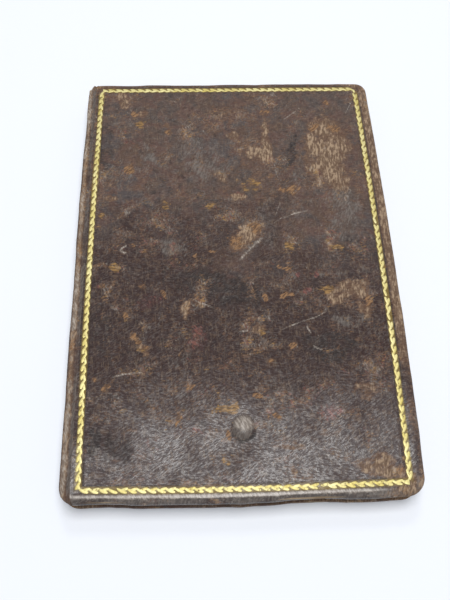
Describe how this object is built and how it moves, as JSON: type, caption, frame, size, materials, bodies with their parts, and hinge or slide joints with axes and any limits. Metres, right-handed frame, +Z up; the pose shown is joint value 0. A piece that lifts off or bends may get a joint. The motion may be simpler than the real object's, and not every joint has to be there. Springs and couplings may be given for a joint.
{
  "type": "antique leather book",
  "caption": "Slim closed book in dark leather over boards, flat spine with ridges and joint grooves, gilt braid border, domed stud, covers that open.",
  "frame": {"origin": "under the middle of the closed book, on the surface that it lies on", "axes": "+X from the spine to the fore-edge, +Y from the tail to the head, +Z up through the front cover"},
  "size_m": [0.1326, 0.191, 0.0153],
  "materials": {
    "page_paper": "matt, toned by age",
    "lining_paper": "matt",
    "hemp_cord": "twisted hemp",
    "band_silk": "faded silk over a core",
    "binding_leather": "worn, mottled, half gloss",
    "pasteboard": "matt",
    "end_paper": "matt, toned by age",
    "stud_iron": "dark, hidden under the leather",
    "gold_leaf": "gold leaf pressed into leather, worn"
  },
  "bodies": {
    "pages": {"text_block": "page_paper", "spine_lining": "lining_paper", "sewing_cords": "hemp_cord", "headband": "band_silk", "tailband": "band_silk", "spine_leather": "binding_leather"},
    "front_cover": {"front_cover_leather": "binding_leather", "front_board": "pasteboard", "front_pastedown": "end_paper", "cover_stud": "stud_iron", "gold_tooling": "gold_leaf", "front_joint_leather": "binding_leather"},
    "back_cover": {"back_cover_leather": "binding_leather", "back_board": "pasteboard", "back_pastedown": "end_paper", "back_joint_leather": "binding_leather"}
  },
  "joints": [
    {"name": "front_cover_hinge", "type": "hinge", "parent": "pages", "child": "front_cover", "pos_m": [-0.0643, 0, 0.011], "axis": [0, -1, 0], "range_deg": [0, 180], "deforming": ["front_joint_leather"]},
    {"name": "back_cover_hinge", "type": "hinge", "parent": "pages", "child": "back_cover", "pos_m": [-0.0643, 0, 0.002], "axis": [0, 1, 0], "range_deg": [0, 180], "deforming": ["back_joint_leather"]}
  ]
}
